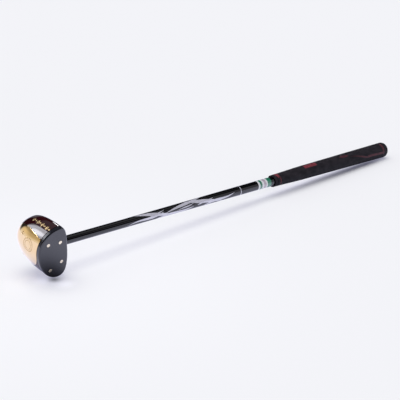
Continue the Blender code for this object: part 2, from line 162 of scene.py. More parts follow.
# Grip
GRIP_END_WALL = 0.0045
SHAFT_END = BUTT_END - GRIP_END_WALL - GAP
GRIP_BORE_RADIUS = 0.0090
GRIP_MOUTH_RADIUS = GRIP_BORE_RADIUS + 0.0013
GRIP_NECK_LENGTH = 0.0830
GRIP_BUTT_WALL = 0.0055
GRIP_TAPER = (GRIP_BUTT_WALL - 0.0033) / (GRIP_LENGTH - GRIP_NECK_LENGTH)
GRIP_END_RADIUS = 0.0080
GRIP_LIP_LENGTH = 0.0045
GRIP_LIP_RADIUS = 0.0010
GRIP_GROOVE_WIDTH = 0.0022
GRIP_GROOVE_DEPTH = 0.0006
GRIP_STEPS = 120
VENT_RADIUS = 0.0015

# Paint on the shaft and inlays of the grip
PAINT_SINK = 0.00012
SLEEVE_SINK = 0.0001
SLEEVE_EDGE = 0.00005
LEAF_RISE = 0.00004
RING_RISE = 0.00005
LABEL_RISE = 0.00012
GRIP_INLAY_RISE = 0.00005
LAYER_LIFT = 0.000008  # each strip of a piece lies this much above the one before
LEAF_TIP = 0.00006  # least half width
HOOP_TIP = 0.0001
STRIPE_CUTS = 6
HOOP_CUTS = 4
HOOP_STEPS = 40

# Floor, light and camera
FLOOR_RADIUS = 14.0
FLOOR_COLOUR = (0.93, 0.93, 0.94)
FLOOR_SEEN = (0.634, 0.634, 0.556)  # the floor's own colour in what the camera sees, low in blue against the bluish glow, so that its painted shadows turn blue; the glow is the rest
FLOOR_GLOW = 0.272
GLOW_COLOUR = (1.0, 1.0, 1.16)
SHADE_GLOW = (0.0, 0.0, 0.045)
MIRROR_GLOW = 0.26
MIRROR_GLOW_COLOUR = (0.55, 0.60, 1.30, 1.0)
# Painted shade and light in the floor's glow: a contact shadow along the grip, a lit strip beside it, light
# under the shaft, and shade round the head's foot
CONTACT_LINE = (-0.006, 0.013)  # y, and how far it reaches
BESIDE_LINE = (0.008, 0.010)
UNDER_LINE = (0.0, 0.030)
HEAD_FOOT = (-0.384, -0.020)
HEAD_FOOT_REACH = 0.009
HEAD_SHADE_REACH = 0.027
# Painted pools of light on the floor: x, y, reach, level
FLOOR_LIFTS = ((-0.397, -0.013, 0.012, 0.14), (-0.385, 0.0, 0.30, 0.05), (-0.383, -0.043, 0.012, 0.14))
HEAD_MIDDLE = Vector((-0.375, -0.005, 0.060))
SKY = 0.60
SKY_SEEN = 0.93
LEFT_LEVEL = 0.98
LEFT_END_LEVELS = (0.54, 0.80)
CORNER_LEVEL = 0.42
BACK_LEVELS = (0.35, 0.02)
BACK_MIDDLE_LEVEL = 0.12
FRONT_LEVEL = 0.008
CEILING_LEVEL = 0.34
RIGHT_LEVEL = 0.45
BOX_LEVELS = (7.5, 17.0)
COOL_LIGHT = (0.96, 0.97, 1.05)
WARM_LIGHT = (1.08, 0.97, 0.74)
SUN_WAY = (-0.04, 0.085, 1.0)
SUN_ANGLE = 50.0
SUN_LEVEL = 0.41
STRIP_ENDS = ((41.0, 29.6), (37.4, 37.0))
STRIP_WIDTH = 5.0
STRIP_LEVEL = 26.0
STRIP_AWAY = 2.0
CAMERA_TURN = math.radians(44.70)
CAMERA_DOWN = math.radians(19.76)
CAMERA_FROM_CLUB = Vector((-0.87724, -1.17798, 0.587355))
CAMERA_LENS = 99.0
CAMERA_SENSOR = 36.0
CAMERA_END = 100.0


def club_angle(way):
    """The angle round the shaft, in the club's axes, of a direction in the world."""
    local = TO_CLUB.to_3x3().inverted() @ Vector(way)
    return math.atan2(local.y, local.x)


LEVEL = club_angle((0.0, -1.0, 0.0))
UPWARD = 1.0 if math.sin(club_angle((0.0, 0.0, 1.0)) - LEVEL) > 0.0 else -1.0


def ease(share):
    return share * share * (3.0 - 2.0 * share)


def round_angles(count):
    return [2 * math.pi * i / count for i in range(count)]


# Meshes


def new_object(name, bm, to_world, material, replaces=()):
    """A shown piece that rides on the club's one body; without a material it is a cutter."""
    bmesh.ops.transform(bm, matrix=to_world, verts=bm.verts)
    bmesh.ops.recalc_face_normals(bm, faces=bm.faces)
    mesh = bpy.data.meshes.new(name)
    bm.to_mesh(mesh)
    bm.free()
    mesh.shade_smooth()
    mesh.set_sharp_from_angle(angle=SHARP_ANGLE)
    obj = bpy.data.objects.new(name, mesh)
    bpy.context.scene.collection.objects.link(obj)
    if material is None:
        return obj
    mesh.materials.append(material)
    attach(obj, "root")
    if replaces:
        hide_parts(*replaces)
    return obj


def cutter(name, bm, to_world):
    return new_object(name, bm, to_world, None)


def carve(obj, *cutters, operation="DIFFERENCE"):
    """Cut an object for good; the cutters are removed."""
    for tool in cutters:
        modifier = obj.modifiers.new("cut", "BOOLEAN")
        modifier.operation = operation
        modifier.solver = "EXACT"
        modifier.object = tool
    bpy.context.view_layer.update()
    depsgraph = bpy.context.evaluated_depsgraph_get()
    mesh = bpy.data.meshes.new_from_object(obj.evaluated_get(depsgraph))
    obj.modifiers.clear()
    old = obj.data
    obj.data = mesh
    bpy.data.meshes.remove(old)
    mesh.name = obj.name
    mesh.set_sharp_from_angle(angle=SHARP_ANGLE)
    for tool in cutters:
        bpy.data.objects.remove(tool)


def bridge(bm, rows):
    """Faces between each closed row of points and the next."""
    for near, far in zip(rows, rows[1:]):
        for i in range(len(near)):
            j = (i + 1) % len(near)
            bm.faces.new((near[i], near[j], far[j], far[i]))


def cover(bm, rows):
    """A closed skin: bridged rows, and the two ends."""
    bridge(bm, rows)
    bm.faces.new(rows[0])
    bm.faces.new(rows[-1])


def loft(rings):
    bm = bmesh.new()
    cover(bm, [[bm.verts.new(point) for point in ring] for ring in rings])
    return bm


def polar(radius, angle, height):
    return radius * math.cos(angle), radius * math.sin(angle), height


def turn(profile, steps=TURNED_STEPS):
    """Turn a profile of (radius, height) points round Z, closed on itself or on the axis."""
    bm = bmesh.new()
    rings = []
    for radius, height in profile:
        if radius == 0.0:
            rings.append([bm.verts.new((0.0, 0.0, height))])
        else:
            rings.append([bm.verts.new(polar(radius, angle, height)) for angle in round_angles(steps)])
    pairs = list(zip(rings, rings[1:]))
    if profile[0][0] > 0.0:
        pairs.append((rings[-1], rings[0]))
    for near, far in pairs:
        for i in range(steps):
            j = (i + 1) % steps
            corners = [near[i % len(near)], near[j % len(near)], far[j % len(far)], far[i % len(far)]]
            bm.faces.new(list(dict.fromkeys(corners)))
    return bm


def arc(centre, radius, start, end, steps):
    angles = [math.radians(start + (end - start) * i / steps) for i in range(steps + 1)]
    return [(centre[0] + radius * math.cos(a), centre[1] + radius * math.sin(a)) for a in angles]


# The head's form


def face_outline(inset=0.0, count=OUTLINE_POINTS):
    """The face's egg shape, each quarter a superellipse with its own power."""
    points = []
    for angle in round_angles(count):
        across = math.cos(angle)
        up = math.sin(angle)
        if across >= 0.0:
            reach = TOE_REACH - WAIST_X - inset
            power = TOE_CROWN_POWER if up >= 0.0 else TOE_SOLE_POWER
        else:
            reach = HEEL_REACH + WAIST_X - inset
            power = HEEL_CROWN_POWER if up >= 0.0 else HEEL_SOLE_POWER
        rise = (WAIST_DROP if up >= 0.0 else FACE_HEIGHT - WAIST_DROP) - inset
        scale = (abs(across) ** power + abs(up) ** power) ** (-1.0 / power)
        points.append((WAIST_X + reach * across * scale, -WAIST_DROP + rise * up * scale))
    return points


def head_form(inset=0.0, front=JOINT_Y, fineness=(OUTLINE_POINTS, DEPTH_STEPS), edge=0.0):
    """The block's outer form, or the same form drawn in; the edge rounds its front rim."""
    count, depth_steps = fineness
    rim = face_outline(inset, count)
    depth = HEAD_DEPTH - PLATE_THICKNESS - inset
    sole_rise = FACE_HEIGHT - WAIST_DROP - inset
    rings = []
    if front > JOINT_Y:
        rings.append([(x, front, z) for x, z in rim])
    if edge > 0.0:
        for k in range(BLOCK_EDGE_STEPS):
            turned = 0.5 * math.pi * k / BLOCK_EDGE_STEPS
            drawn = face_outline(inset + edge * (1.0 - math.sin(turned)), count)
            rings.append([(x, JOINT_Y - edge * (1.0 - math.cos(turned)), z) for x, z in drawn])
    for i in range(depth_steps + 1):
        quarter = LAST_RING * 0.5 * math.pi * (i / depth_steps)
        back = math.sin(quarter) ** (2.0 / PLAN_POWER)
        plan = math.cos(quarter) ** (2.0 / PLAN_POWER)
        if edge > 0.0 and depth * back < edge:
            continue
        side = (1.0 - back**SIDE_POWER) ** (1.0 / SIDE_POWER)
        centre_x = WAIST_X + (BACK_CENTRE_X - WAIST_X) * back
        ring = []
        for x, z in rim:
            below = max(0.0, -WAIST_DROP - z) / sole_rise
            camber = SOLE_CAMBER * 4.0 * back * (1.0 - back) * below**2
            level = -WAIST_DROP - CROWN_FALL * back + (z + WAIST_DROP) * side - camber
            ring.append((centre_x + (x - WAIST_X) * plan, JOINT_Y - depth * back, level))
        rings.append(ring)
    return loft(rings)


def on_head(start, way):
    """Where a line from a point meets the head's form, and the way out of it there."""
    form = head_form(fineness=COARSE_FORM)
    bmesh.ops.recalc_face_normals(form, faces=form.faces)
    hit = BVHTree.FromBMesh(form).ray_cast(Vector(start), Vector(way))
    form.free()
    return hit[0], hit[1]


def sole_region(grow=0.0, front=0.0):
    """The space below the sole plate's rim: straight to the toe, elliptical at the heel."""
    toe_x = TOE_REACH + CLEAR
    front_y = JOINT_Y - GAP
    centre_y = 0.5 * (front_y + SOLE_PLATE_BACK_Y)
    half_length = WAIST_X - SOLE_PLATE_HEEL_X + grow
    half_width = 0.5 * (front_y - SOLE_PLATE_BACK_Y) + grow
    plan = [(toe_x, front_y + grow + front)]
    if front > 0.0:
        plan.append((WAIST_X, front_y + grow + front))
    for i in range(SOLE_REGION_STEPS + 1):
        angle = 0.5 * math.pi + math.pi * i / SOLE_REGION_STEPS
        plan.append((WAIST_X + half_length * math.cos(angle), centre_y + half_width * math.sin(angle)))
    plan.append((toe_x, centre_y - half_width))
    level = SOLE_PLATE_RISE - FACE_HEIGHT + grow
    rim = [(x, y, level - y * math.tan(SOLE_PLATE_TILT)) for x, y in plan]
    floor = [(x, y, -FACE_HEIGHT - 2 * CLEAR) for x, y in plan]
    return loft([rim, floor])


def screw_profile(sizes, grow=0.0, above=0.0):
    """A countersunk screw, or its hole, which is grown and open above."""
    head_radius, shank_radius, length = sizes
    profile = [(0.0, above)]
    if above > 0.0:
        profile.append((head_radius + grow, above))
    profile.append((head_radius + grow, 0.0))
    profile.append((shank_radius + grow, shank_radius - head_radius))
    profile.append((shank_radius + grow, SCREW_POINT - length))
    profile.append((0.0, -length - grow))
    return profile


# Materials


class Nodes:
    """Short hand for the nodes of a material or of the world."""

    def __init__(self, owner):
        owner.use_nodes = True
        self.tree = owner.node_tree

    def add(self, kind, inputs=None, **settings):
        node = self.tree.nodes.new(kind)
        for key, value in settings.items():
            setattr(node, key, value)
        for key, value in (inputs or {}).items():
            if isinstance(value, bpy.types.NodeSocket):
                self.tree.links.new(value, node.inputs[key])
            else:
                node.inputs[key].default_value = value
        return node

    def math(self, operation, a, b=0.0, c=0.0):
        return self.add("ShaderNodeMath", {0: a, 1: b, 2: c}, operation=operation).outputs[0]

    def product(self, a, *others):
        for b in others:
            a = self.math("MULTIPLY", a, b)
        return a

    def vector(self, operation, a, b=(0.0, 0.0, 0.0), output=0):
        return self.add("ShaderNodeVectorMath", {0: a, 1: b}, operation=operation).outputs[output]

    def dot(self, a, b):
        return self.vector("DOT_PRODUCT", a, b, "Value")

    def span(self, value, low, high, to_low=0.0, to_high=1.0, kind="LINEAR"):
        inputs = {"Value": value, "From Min": low, "From Max": high, "To Min": to_low, "To Max": to_high}
        return self.add("ShaderNodeMapRange", inputs, interpolation_type=kind).outputs[0]

    def step(self, value, low, high, to_low=0.0, to_high=1.0):
        return self.span(value, low, high, to_low, to_high, "SMOOTHSTEP")

    def blend(self, share, a, b):
        return self.add("ShaderNodeMix", {"Factor": share, "A": a, "B": b}, data_type="FLOAT").outputs[0]

    def mix(self, share, a, b):
        """Between two colours, each a tuple or a socket."""
        inputs = {0: share}
        for key, value in ((6, a), (7, b)):
            inputs[key] = (*value, 1.0) if isinstance(value, tuple) else value
        return self.add("ShaderNodeMix", inputs, data_type="RGBA").outputs[2]


class Surface(Nodes):
    """A Principled material that is drawn by nodes in the club's or the head's own axes."""

    def __init__(self, name, axes, **sockets):
        self.material = bpy.data.materials.new(name)
        super().__init__(self.material)
        self.shader = self.tree.nodes["Principled BSDF"]
        place = {"Vector": self.add("ShaderNodeTexCoord").outputs["Object"]}
        place["Location"] = axes.to_translation()
        place["Rotation"] = axes.to_euler("XYZ")
        self.point = self.add("ShaderNodeMapping", place, vector_type="TEXTURE").outputs[0]
        for socket, value in sockets.items():
            self.shader.inputs[socket.replace("_", " ")].default_value = value

    def stretched(self, stretch):
        return self.add("ShaderNodeMapping", {"Vector": self.point, "Scale": stretch}).outputs[0]

    def noise(self, scale, detail=3.0, roughness=0.5, stretch=None):
        vector = self.stretched(stretch) if stretch else self.point
        inputs = {"Vector": vector, "Scale": scale, "Detail": detail, "Roughness": roughness}
        return self.add("ShaderNodeTexNoise", inputs).outputs["Fac"]

    def bump(self, height, distance, strength=1.0, edge=0.0):
        inputs = {"Height": height, "Distance": distance, "Strength": strength}
        if edge > 0.0:
            inputs["Normal"] = self.add("ShaderNodeBevel", {"Radius": edge}, samples=6).outputs[0]
        return self.add("ShaderNodeBump", inputs).outputs[0]

    def drive(self, socket, value):
        self.tree.links.new(value, self.shader.inputs[socket])


def plain_surface(name, dark, light, scale, rough, bump, stretch=None, axes=TO_CLUB, **sockets):
    """Two close colours clouded by noise, with roughness and fine bump that follow finer noise."""
    s = Surface(name, axes, **sockets)
    cloud = s.noise(scale, 4.0, 0.6, stretch)
    fine = s.noise(scale * 6.0, 5.0, 0.7, stretch)
    s.drive("Base Color", s.mix(s.span(cloud, 0.35, 0.65), dark, light))
    s.drive("Roughness", s.span(fine, 0.3, 0.7, *rough))
    s.drive("Normal", s.bump(fine, bump))
    return s.material


def lacquered_wood():
    """Dark red stain on fine grain that runs from toe to heel, under thick clear lacquer."""
    lacquer = {"Coat_Weight": 1.0, "Coat_Roughness": 0.02, "Coat_IOR": 1.52, "Specular_IOR_Level": 0.0}
    dark, light, pore = (0.012, 0.0010, 0.0020), (0.040, 0.0042, 0.0068), (0.010, 0.001, 0.0015)
    s = Surface("lacquered_wood", TO_HEAD, **lacquer)
    slow = s.noise(38.0, 3.0, 0.5, (0.35, 1.0, 1.0))
    wave = {"Vector": s.stretched((0.12, 1.0, 0.8)), "Scale": 95.0, "Distortion": 2.6}
    wave |= {"Detail": 2.0, "Detail Scale": 1.4}
    grain = s.add("ShaderNodeTexWave", wave, bands_direction="Y", wave_profile="SAW").outputs["Fac"]
    pores = s.noise(900.0, 2.0, 0.6, (0.06, 1.0, 1.0))
    share = s.math("MULTIPLY_ADD", grain, 0.45, s.product(slow, 0.55))
    colour = s.mix(s.span(share, 0.25, 0.75), dark, light)
    s.drive("Base Color", s.mix(s.span(pores, 0.58, 0.72, 0.0, 0.6), colour, pore))
    s.drive("Roughness", s.span(pores, 0.3, 0.8, 0.40, 0.60))
    s.drive("Normal", s.bump(s.noise(260.0, 2.0), 0.000012, 0.6, 0.0003))
    return s.material


def polished_brass(name, dark, light, rough, brushed=(0.08, 1.0, 1.0), edge=0.0003, **sockets):
    """Brass with faint clouds and fine lines from its polishing."""
    s = Surface(name, TO_HEAD, Metallic=1.0, **sockets)
    cloud = s.noise(70.0)
    lines = s.noise(1800.0, 3.0, 0.7, brushed)
    wear_and_painted_top_light = s.math("MULTIPLY_ADD", lines, 0.6, s.product(cloud, 0.4))
    s.drive("Base Color", s.mix(s.span(cloud, 0.3, 0.7), dark, light))
    s.drive("Roughness", s.span(wear_and_painted_top_light, 0.3, 0.7, *rough))
    s.drive("Normal", s.bump(lines, 0.0000008, 0.8, edge))
    return s.material


def face_resin(name, index):
    """Polished black resin, a little duller on its side than on the face."""
    s = Surface(name, TO_HEAD, IOR=index)
    speck = s.noise(2600.0, 2.0, 0.6)
    cloud = s.noise(60.0)
    depth = s.add("ShaderNodeSeparateXYZ", {"Vector": s.point}).outputs["Y"]
    side = s.span(depth, FACE_TO_AXIS - 0.0018, FACE_TO_AXIS - 0.0026)
    s.drive("Base Color", s.mix(s.span(cloud, 0.3, 0.7), (0.004, 0.004, 0.008), (0.008, 0.008, 0.013)))
    fine = s.span(s.math("MULTIPLY_ADD", speck, 0.5, s.product(cloud, 0.5)), 0.3, 0.7, 0.05, 0.11)
    s.drive("Roughness", s.math("MULTIPLY_ADD", side, 0.15, fine))
    s.drive("Normal", s.bump(speck, 0.0000015, 0.6))
    return s.material


def grip_rubber():
    """Fine staggered pits round and along the grip, in black rubber; its upper side is painted greyer, a
    painted highlight for light from above.
    """
    pits_round, pit_pitch, painted_light_angle = 24.0, 0.0036, LEVEL + UPWARD * 1.25
    s = Surface("grip_rubber", TO_CLUB, Specular_IOR_Level=0.15)
    split = s.add("ShaderNodeSeparateXYZ", {"Vector": s.point})
    round_share = s.product(s.math("ARCTAN2", split.outputs[1], split.outputs[0]), pits_round)
    along = s.product(split.outputs[2], 2 * math.pi / pit_pitch)
    weave = s.product(s.math("SINE", round_share), s.math("SINE", along))
    cloud = s.noise(150.0, 4.0, 0.7, (1.0, 1.0, 0.5))
    fine = s.noise(2400.0, 3.0, 0.7)
    # painted light: the rubber's colour is lighter towards its upper side, where the light falls
    way = s.vector("NORMALIZE", s.vector("MULTIPLY", s.point, (1.0, 1.0, 0.0)))
    top = s.dot(way, Vector(polar(1.0, painted_light_angle, 0.0)))
    wear_and_painted_top_light = s.math("MULTIPLY_ADD", s.span(top, -0.2, 1.0), 0.65, s.span(cloud, 0.36, 0.64, -0.2, 0.5))
    s.drive("Base Color", s.mix(wear_and_painted_top_light, (0.004, 0.004, 0.006), (0.024, 0.0205, 0.0255)))
    s.drive("Roughness", s.span(fine, 0.3, 0.7, 0.55, 0.80))
    height = s.math("MULTIPLY_ADD", s.span(weave, 0.1, 0.8), -1.0, s.product(fine, 0.3))
    s.drive("Normal", s.bump(height, 0.00018, 0.8))
    return s.material


def label(name, dark, light, rough):
    return plain_surface(name, dark, light, 160.0, rough, 0.000004, Coat_Weight=1.0, Coat_IOR=1.65)


def red_rubber(name, dark, light, shine):
    return plain_surface(name, dark, light, 260.0, (0.50, 0.70), 0.00002, Specular_IOR_Level=shine)


# After the name: dark colour, light colour, scale of the clouds, roughness, bump, stretch
WOOD = lacquered_wood()
RESIN = face_resin("face_resin", 1.72)
RESIN_EDGE = face_resin("face_resin_edge", 1.36)
SOLE_BRASS = polished_brass(
    "sole_brass", (0.80, 0.57, 0.28), (0.86, 0.63, 0.34), (0.035, 0.060),
    Coat_Weight=1.0, Coat_Roughness=0.04,
)
ETCHED_BRASS = polished_brass("etched_brass", (0.60, 0.42, 0.20), (0.70, 0.50, 0.26), (0.34, 0.48))
# Paler brass than the sole plate's: partly the screws' own colour, partly a painted highlight for the lamp
# their heads catch
SCREW_BRASS = polished_brass(
    "screw_brass", (0.92, 0.81, 0.60), (0.97, 0.88, 0.70), (0.26, 0.40), edge=0.0001
)
WEIGHT_BRASS = polished_brass(
    "weight_brass", (0.52, 0.40, 0.20), (0.66, 0.52, 0.28), (0.35, 0.55), (1.0, 1.0, 0.1)
)
SHAFT_BLACK = plain_surface(
    "shaft_black", (0.0008, 0.0008, 0.0012), (0.0018, 0.0018, 0.0026), 240.0, (0.30, 0.42), 0.000002,
    (1.0, 1.0, 0.1), Coat_Weight=1.0, Coat_Roughness=0.03, Coat_IOR=1.65, Specular_IOR_Level=0.0,
)
FERRULE_BLACK = plain_surface(
    "ferrule_black", (0.007, 0.007, 0.008), (0.013, 0.013, 0.015), 500.0, (0.14, 0.26), 0.000005,
    (0.2, 0.2, 1.0),
)
SILVER = plain_surface(
    "silver_paint", (0.56, 0.55, 0.62), (0.68, 0.67, 0.75), 900.0, (0.30, 0.42), 0.000004,
    Metallic=0.25, Coat_Weight=1.0, Coat_Roughness=0.04, Coat_IOR=1.6,
)
GOLD = plain_surface(
    "gold_inlay", (0.66, 0.47, 0.22), (0.80, 0.60, 0.33), 700.0, (0.22, 0.36), 0.000005,
    axes=TO_HEAD, Metallic=0.7,
)
LABEL_WHITE = label("label_white", (0.66, 0.68, 0.69), (0.76, 0.78, 0.79), (0.16, 0.30))
LABEL_GREEN = label("label_green", (0.016, 0.15, 0.085), (0.026, 0.22, 0.125), (0.16, 0.30))
LABEL_MAUVE = label("label_mauve", (0.42, 0.34, 0.41), (0.52, 0.43, 0.50), (0.18, 0.32))
RUBBER = grip_rubber()
RED_RUBBER = red_rubber("red_rubber", (0.13, 0.016, 0.026), (0.20, 0.030, 0.042), 0.35)
DULL_RED_RUBBER = red_rubber("dull_red_rubber", (0.050, 0.014, 0.020), (0.080, 0.022, 0.030), 0.25)
TAPE = plain_surface("tape_paper", (0.60, 0.55, 0.43), (0.74, 0.70, 0.58), 300.0, (0.75, 0.90), 0.00004)


# Head pieces


def build_head():
    """The wooden block with its seat and bore, and the brass plate let into its sole."""
    form = head_form(SKIN, edge=BLOCK_EDGE)
    block = new_object("wood_head", form, TO_HEAD, WOOD, ["head_block"])
    plate = new_object("brass_sole", head_form(SKIN), TO_HEAD, SOLE_BRASS, ["sole_plate"])
    core = head_form(SOLE_PLATE_THICKNESS, JOINT_Y + CLEAR, COARSE_FORM)
    carve(plate, cutter("region", sole_region(), TO_HEAD), operation="INTERSECT")
    carve(plate, cutter("core", core, TO_HEAD))
    seat = cutter("seat", sole_region(GAP, CLEAR), TO_HEAD)
    seat_core = head_form(SOLE_PLATE_THICKNESS + GAP, JOINT_Y + 2 * CLEAR, COARSE_FORM)
    carve(seat, cutter("seat_core", seat_core, TO_HEAD))
    bore = [(0.0, -BORE_DEPTH), (BORE_RADIUS, -BORE_DEPTH), (BORE_RADIUS, CLEAR), (0.0, CLEAR)]
    carve(block, seat, cutter("bore", turn(bore, BORE_STEPS), TO_CLUB))
    return block, plate


def build_face_plate():
    """The resin plate, round at the face's rim; its upper side has a second material."""
    edge_centre = (-PLATE_EDGE_RADIUS, FACE_TO_AXIS - PLATE_EDGE_RADIUS)
    rings = [[(x, JOINT_Y + GAP, z) for x, z in face_outline(SKIN + EDGE)]]
    rings.append([(x, JOINT_Y + GAP + EDGE, z) for x, z in face_outline(SKIN)])
    for overhang, level in arc(edge_centre, PLATE_EDGE_RADIUS, 0, 90, 10):
        rings.append([(x, level, z) for x, z in face_outline(SKIN - overhang)])
    plate = new_object("resin_face", loft(rings), TO_HEAD, RESIN, ["face_plate"])
    plate.data.materials.append(RESIN_EDGE)
    to_head = TO_HEAD.inverted()
    for polygon in plate.data.polygons:
        centre = to_head @ polygon.center
        if centre.z > PLATE_EDGE_TURN and centre.y < FACE_TO_AXIS - PLATE_SIDE_FROM:
            polygon.material_index = 1
    return plate


def slot_form(angle, level):
    bm = bmesh.new()
    bmesh.ops.create_cube(bm, size=1.0)
    bmesh.ops.scale(bm, vec=(SLOT_LENGTH, SLOT_WIDTH, 2 * SLOT_DEPTH), verts=bm.verts)
    bmesh.ops.rotate(bm, cent=(0, 0, 0), matrix=Matrix.Rotation(angle, 3, "Z"), verts=bm.verts)
    bmesh.ops.translate(bm, vec=(0, 0, level), verts=bm.verts)
    return bm


def place_screw(name, node, sizes, place, outward, index, holders, material, filed=False):
    """A slotted screw and its holes in what it holds; a filed one is cut to the sole's own curve."""
    to_world = TO_HEAD @ Matrix.Translation(place) @ outward.to_track_quat("Z", "Y").to_matrix().to_4x4()
    form = turn(screw_profile(sizes, above=CLEAR if filed else 0.0), SCREW_STEPS)
    screw = new_object(name, form, to_world, material, [node])
    if filed:
        carve(screw, cutter("file", head_form(SKIN), TO_HEAD), operation="INTERSECT")
    slot = slot_form(math.radians(SLOT_TURNS[0] + SLOT_TURNS[1] * index), SOLE_SCREW_SINK if filed else 0.0)
    carve(screw, cutter("slot", slot, to_world))
    for holder in holders:
        hole = turn(screw_profile(sizes, GAP, CLEAR), SCREW_STEPS)
        carve(holder, cutter("hole", hole, to_world))


def build_screws(block, plate, face):
    """Four screws in the face and two in the sole, with their holes."""
    out = Vector((0, 1, 0))
    places = {
        "toe_crown": (TOE_REACH - CROWN_ROW_INSET, -CROWN_ROW_DROP),
        "heel_crown": (CROWN_ROW_INSET - HEEL_REACH, -CROWN_ROW_DROP),
        "toe_sole": (TOE_REACH - SOLE_ROW_INSET, SOLE_ROW_RISE - FACE_HEIGHT),
        "heel_sole": (SOLE_ROW_INSET - HEEL_REACH, SOLE_ROW_RISE - FACE_HEIGHT),
    }
    for index, (name, (x, z)) in enumerate(places.items()):
        place = Vector((x, FACE_TO_AXIS - SCREW_SINK, z))
        names = ("screw_face_" + name, "face_screw_" + name)
        place_screw(*names, FACE_SCREW, place, out, index, [face, block], SCREW_BRASS)
    for index, (end, (x, y)) in enumerate(SOLE_SCREW_PLACES.items()):
        surface, outward = on_head((x, y, -1.0), (0, 0, 1))
        place = surface - outward * SOLE_SCREW_SINK
        names = ("screw_sole_" + end, "sole_screw_" + end)
        place_screw(*names, SOLE_SCREW, place, outward, index, [plate, block], ETCHED_BRASS, True)
    for obj in (block, plate, face):
        modifier = obj.modifiers.new("flat_shading", "WEIGHTED_NORMAL")
        modifier.keep_sharp = True


def inlay(bm, form, loops, solid, ray, rise):
    """A thin closed patch that follows the head's form; the ray of each flat point finds its place."""
    tops = []
    bottoms = []
    for loop in loops:
        hits = [form.ray_cast(*ray(u, v)) for u, v in loop]
        tops.append([bm.verts.new(hit[0] + hit[1] * rise) for hit in hits])
        bottoms.append([bm.verts.new(hit[0] - hit[1] * INLAY_SINK) for hit in hits])
    rows = tops + bottoms[::-1]
    if solid:
        cover(bm, rows)
    else:
        bridge(bm, rows + tops[:1])


def ring_loops(inner, outer):
    radii = (inner, 0.5 * (inner + outer), outer)
    return [[polar(r, a, 0.0)[:2] for a in round_angles(RING_POINTS)] for r in radii]


def lozenge_loops(centre, half_width, half_height, turned=0.0):
    """Pointed at four corners, with slightly hollow sides."""
    loops = []
    for share in (0.05, 0.5, 1.0):
        loop = []
        for angle in round_angles(LOZENGE_POINTS):
            across = math.cos(angle)
            up = math.sin(angle)
            u = half_width * share * abs(across) ** LOZENGE_HOLLOW * math.copysign(1.0, across)
            v = half_height * share * abs(up) ** LOZENGE_HOLLOW * math.copysign(1.0, up)
            turned_u = u * math.cos(turned) - v * math.sin(turned)
            turned_v = u * math.sin(turned) + v * math.cos(turned)
            loop.append((centre[0] + turned_u, centre[1] + turned_v))
        loops.append(loop)
    return loops


def build_ornament():
    """A row of gold lozenges along the toe, and a plain double ring with spokes on the brass."""
    form = head_form(SKIN, fineness=FINE_FORM)
    bmesh.ops.triangulate(form, faces=form.faces)
    bmesh.ops.recalc_face_normals(form, faces=form.faces)
    tree = BVHTree.FromBMesh(form)
    form.free()

    def from_toe(u, v):
        return Vector((RAY_START, u, v)), Vector((-1, 0, 0))

    def from_below(u, v):
        return Vector((*RINGS_CENTRE, -RAY_START)) + Vector((u, v, 0)), Vector((0, 0, 1))

    gold = bmesh.new()
    for k in range(LOZENGES):
        middle = (LOZENGE_START[0] + LOZENGE_PITCH * k, LOZENGE_START[1])
        halves = SMALL_LOZENGE if k % 2 else LARGE_LOZENGE
        inlay(gold, tree, lozenge_loops(middle, *halves), True, from_toe, GOLD_RISE)
    new_object("gold_lozenges", gold, TO_HEAD, GOLD)
    etched = bmesh.new()
    for ring in RINGS:
        inlay(etched, tree, ring_loops(*ring), False, from_below, ETCH_RISE)
    for angle in round_angles(SPOKES):
        middle = polar(SPOKE_RADIUS, angle, 0.0)
        inlay(etched, tree, lozenge_loops(middle, *SPOKE, angle), True, from_below, ETCH_RISE)
    new_object("etched_rings", etched, TO_HEAD, ETCHED_BRASS)


# Shaft, ferrule and grip


def shaft_radius(t):
    share = min(1.0, max(0.0, (t - SHAFT_TIP_LENGTH) / (SHAFT_TAPER_END - SHAFT_TIP_LENGTH)))
    return SHAFT_TIP_RADIUS + (SHAFT_BUTT_RADIUS - SHAFT_TIP_RADIUS) * share


def build_shaft():
    low = GAP - BORE_DEPTH
    taper = SHAFT_TAPER_END - SHAFT_TIP_LENGTH
    levels = [SHAFT_TIP_LENGTH + taper * i / SHAFT_TAPER_STEPS for i in range(SHAFT_TAPER_STEPS + 1)]
    profile = [(shaft_radius(low) - EDGE, low), (shaft_radius(low), low + EDGE)]
    profile += [(shaft_radius(t), t) for t in levels]
    profile += [(SHAFT_BUTT_RADIUS, SHAFT_END - EDGE), (SHAFT_BUTT_RADIUS - EDGE, SHAFT_END)]
    profile.append((SHAFT_BUTT_RADIUS - SHAFT_WALL, SHAFT_END))
    profile += [(SHAFT_TIP_RADIUS - SHAFT_WALL, t) for t in (SHAFT_TIP_LENGTH, low)]
    new_object("painted_shaft", turn(profile), TO_CLUB, SHAFT_BLACK, ["shaft"])


def build_ferrule():
    """A turned collar with two fine grooves, its foot cut to the crown's curve."""
    profile = [(BORE_RADIUS, -FERRULE_FOOT), (FERRULE_BASE_RADIUS, -FERRULE_FOOT)]
    profile.append((FERRULE_BASE_RADIUS, 0.0))
    for level in FERRULE_GROOVES:
        radius = FERRULE_BASE_RADIUS + (FERRULE_TOP_RADIUS - FERRULE_BASE_RADIUS) * level / FERRULE_LENGTH
        profile += [(radius - deep, level + along) for deep, along in GROOVE_FORM]
    bead_centre = (FERRULE_TOP_RADIUS - FERRULE_BEAD, FERRULE_LENGTH - FERRULE_BEAD)
    profile += arc(bead_centre, FERRULE_BEAD, 0, 90, 5)
    profile.append((BORE_RADIUS, FERRULE_LENGTH))
    ferrule = new_object(
        "turned_ferrule", turn(profile), TO_CLUB, FERRULE_BLACK, ["ferrule"]
    )
    carve(ferrule, cutter("crown", head_form(-GAP, JOINT_Y + GAP), TO_HEAD))


